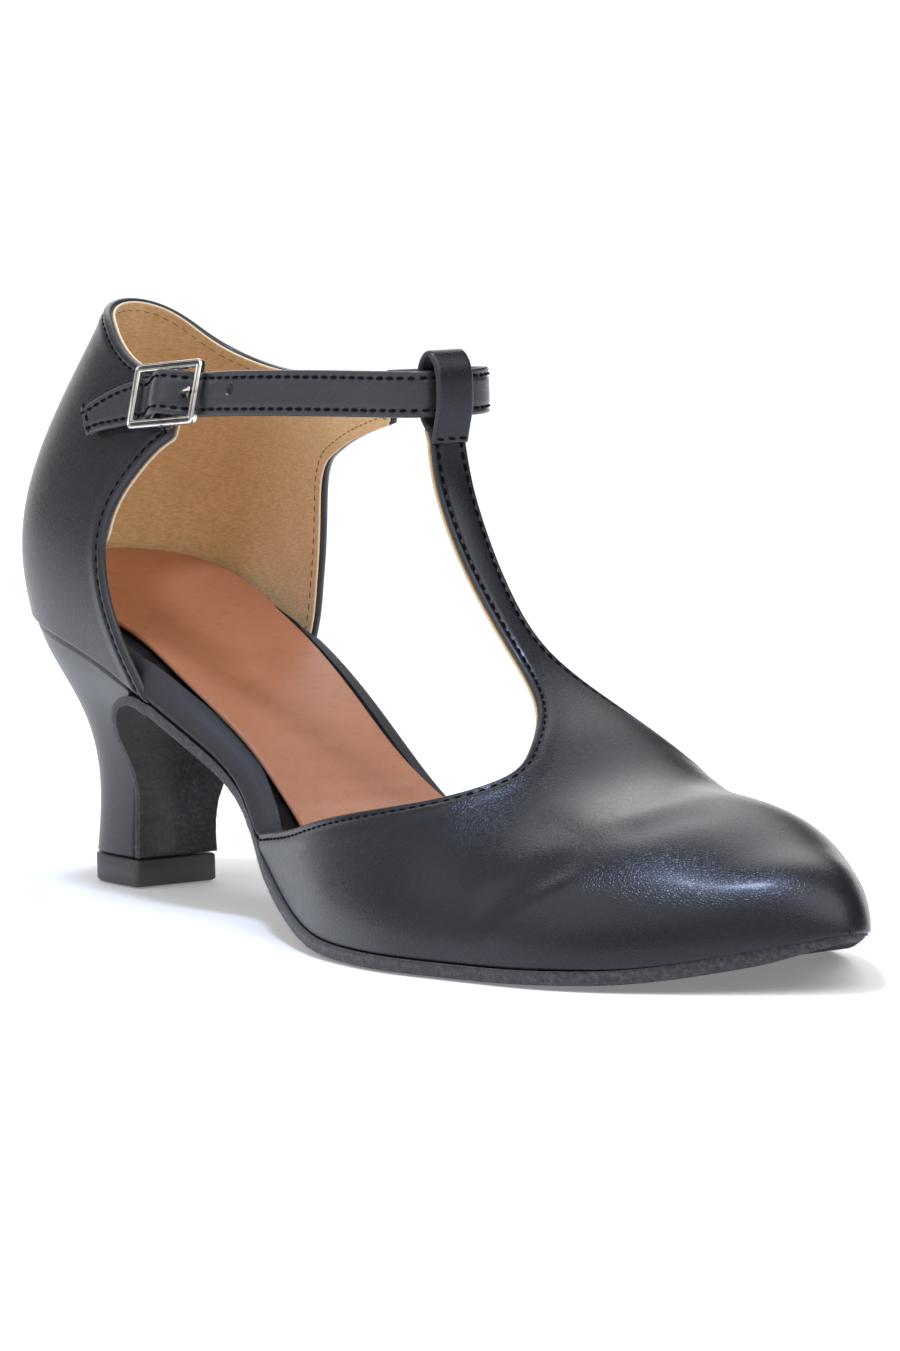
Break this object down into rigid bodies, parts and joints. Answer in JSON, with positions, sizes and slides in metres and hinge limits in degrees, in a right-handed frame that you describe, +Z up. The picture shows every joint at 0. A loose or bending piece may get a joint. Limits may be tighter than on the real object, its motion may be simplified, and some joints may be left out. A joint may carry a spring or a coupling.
{
  "type": "dance shoe",
  "caption": "Women's closed-toe dance shoe with a T-strap, a buckled ankle strap, open waist and a curved covered heel, in black leather.",
  "frame": {"origin": "centre of the bounding box in plan, at the floor", "axes": "+X from the heel to the toe, +Y towards the medial side (the other foot), +Z up"},
  "size_m": [0.2455, 0.0761, 0.1116],
  "materials": {
    "black_leather": "smooth satin",
    "sole_suede": "napped suede",
    "heel_rubber": "matte",
    "tan_leather": "soft satin",
    "buckle_metal": "polished"
  },
  "bodies": {
    "root": {"outsole": "sole_suede", "heel": "black_leather", "top_piece": "heel_rubber", "insole": "black_leather", "sock": "tan_leather", "vamp": "black_leather", "quarter": "black_leather", "ankle_strap": "black_leather", "buckle_frame": "buckle_metal", "buckle_prong": "buckle_metal", "buckle_stay": "black_leather"}
  },
  "joints": []
}
